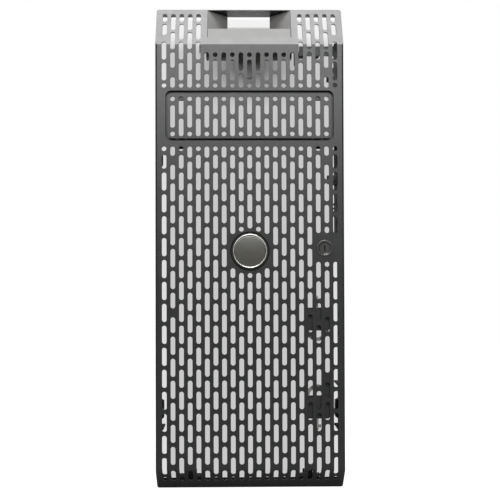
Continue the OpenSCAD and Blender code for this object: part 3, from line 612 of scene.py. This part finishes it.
def painted_shade_card_material(low, high):
    """Card behind the slots that glows grey to the camera as painted shade of the backdrop behind the bezel:
    painted lighter at its top and sides, with a painted shadow below the pocket; clear from behind.
    """
    # Glow levels: the main level is painted shade of the backdrop seen through the slots, and the levels at
    # the top and the sides are painted light; the last value is the card's matt grey for bounced light.
    grey, top_painted_light, side_painted_light, matt_grey = 0.585, 0.88, 0.74, 0.7
    top_start, top_end = high.z - 34 * MM, high.z - 18 * MM
    side_start, side_end = high.x - 9.5 * MM, high.x - 7.5 * MM
    # Painted shadow of the pocket and the latch housing: deepest across the middle, fading towards the sides
    # and down to its foot, and kept off the brow.
    shade_foot, shade_full = high.z - 88 * MM, high.z - 52 * MM
    shade_end, shade_top = high.z - 34 * MM, high.z - 26 * MM
    shade_core, shade_edge, shade_depth = 10 * MM, 52 * MM, 0.82

    def level(tree):
        axes = tree.nodes.new("ShaderNodeSeparateXYZ")
        tree.links.new(tree.nodes.new("ShaderNodeTexCoord").outputs["Object"], axes.inputs["Vector"])
        up = axes.outputs["Z"]
        across = combine(tree, "ABSOLUTE", axes.outputs["X"])
        top = ramp(tree, up, top_start, top_end, grey, top_painted_light)
        sides = ramp(tree, across, side_start, side_end, grey, side_painted_light)
        rising = ramp(tree, up, shade_foot, shade_full, 0, 1)
        narrowing = ramp(tree, across, shade_core, shade_edge, shade_depth, 0)
        below_brow = ramp(tree, up, shade_end, shade_top, 1, 0)
        shade = combine(tree, "MULTIPLY", rising, combine(tree, "MULTIPLY", narrowing, below_brow))
        unshaded = combine(tree, "MAXIMUM", top, sides)
        return combine(tree, "MULTIPLY", unshaded, ramp(tree, shade, 0, 1, 1, 0))

    material, tree, glow, matt, surface = stage_material("painted_shade_card", level, matt_grey)
    front = join_shaders(tree, "ShaderNodeMixShader", matt, glow, None, camera_sees(tree))
    clear = tree.nodes.new("ShaderNodeBsdfTransparent").outputs["BSDF"]
    behind = tree.nodes.new("ShaderNodeNewGeometry").outputs["Backfacing"]
    join_shaders(tree, "ShaderNodeMixShader", front, clear, surface, behind)
    return material


def white_world(level):
    """White background; a soft grey lights the object."""
    world = bpy.data.worlds.new("studio")
    bpy.context.scene.world = world
    world.use_nodes = True
    tree = world.node_tree
    background = tree.nodes["Background"]
    background.inputs["Color"].default_value = (1, 1, 1, 1)
    strength = ramp(tree, camera_sees(tree), 0, 1, level, 1)
    tree.links.new(strength, background.inputs["Strength"])


class BEZEL_OT_studio(bpy.types.Operator):
    """Floor, card of painted shade behind the slots, lamps, world and camera"""

    bl_idname = "bezel.studio"
    bl_label = "Studio"

    def execute(self, context):
        s = context.scene.bezel_studio
        low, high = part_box("bezel_shell")
        floor_size, floor_gap = 4, 0.4 * MM
        stage_plane("floor", floor_size, floor_size, (0, 0, -floor_gap), False, floor_material())
        # The card behind the slots carries painted shade of the backdrop, with painted light at its top and
        # sides and a painted shadow below the pocket.
        card_gap, side_trim, end_trim = 1 * MM, 1 * MM, 6 * MM
        card_size = (high.x - low.x - side_trim, high.z - low.z - end_trim)
        place = (0, high.y + card_gap, (low.z + high.z) / 2)
        stage_plane("painted_shade_card", *card_size, place, True, painted_shade_card_material(low, high))
        white_world(s.ambient)
        softbox = (0, low.y - s.top_reach, high.z + s.top_rise)
        mid_brow = (0, low.y + 12 * MM, high.z)
        area_lamp("top_softbox", softbox, mid_brow, (0.5, 0.35), s.top_light)
        panel_size = (1.5, 0.8)
        panel = (0, low.y - s.panel_reach, s.panel_low + panel_size[1] / 2)
        area_lamp("front_panel", panel, (0, 0, panel[2]), panel_size, s.panel_light)
        camera = bpy.data.cameras.new("camera")
        camera.lens = s.lens
        camera.sensor_width = 36
        holder = bpy.data.objects.new("camera", camera)
        target = Vector((0, low.y, s.aim_height))
        back = Vector((-math.sin(s.turn), -math.cos(s.turn), -math.sin(s.tilt))).normalized()
        holder.location = target + back * s.distance
        holder.rotation_mode = "QUATERNION"
        holder.rotation_quaternion = (-back).to_track_quat("-Z", "Y") @ Quaternion((0, 0, 1), s.roll)
        context.scene.collection.objects.link(holder)
        context.scene.camera = holder
        context.scene.view_settings.view_transform = "Standard"
        return {"FINISHED"}


class BEZEL_PT_panel(bpy.types.Panel):
    """Lists the bezel's operators and settings"""

    bl_label = "Server front bezel"
    bl_idname = "BEZEL_PT_panel"
    bl_space_type = "VIEW_3D"
    bl_region_type = "UI"
    bl_category = "Bezel"

    def draw(self, context):
        for operator in OPERATORS:
            self.layout.operator(operator.bl_idname)
        for group in (context.scene.bezel_finishes, context.scene.bezel_studio):
            for name in group.bl_rna.properties.keys():
                if name not in ("rna_type", "name"):
                    self.layout.prop(group, name)


OPERATORS = (
    BEZEL_OT_mouldings,
    BEZEL_OT_pocket,
    BEZEL_OT_badge,
    BEZEL_OT_lock,
    BEZEL_OT_keys,
    BEZEL_OT_spring,
    BEZEL_OT_screws,
    BEZEL_OT_studio,
)
CLASSES = (BezelFinishes, BezelStudio, *OPERATORS, BEZEL_PT_panel)


def register():
    for item in CLASSES:
        bpy.utils.register_class(item)
    bpy.types.Scene.bezel_finishes = PointerProperty(type=BezelFinishes)
    bpy.types.Scene.bezel_studio = PointerProperty(type=BezelStudio)


def unregister():
    del bpy.types.Scene.bezel_studio
    del bpy.types.Scene.bezel_finishes
    for item in reversed(CLASSES):
        bpy.utils.unregister_class(item)


def main():
    register()
    bpy.ops.bezel.mouldings()
    bpy.ops.bezel.pocket()
    bpy.ops.bezel.badge()
    bpy.ops.bezel.lock()
    bpy.ops.bezel.keys()
    bpy.ops.bezel.spring()
    bpy.ops.bezel.screws()
    bpy.ops.bezel.studio()
    bpy.context.view_layer.update()


if __name__ == "__main__":
    main()
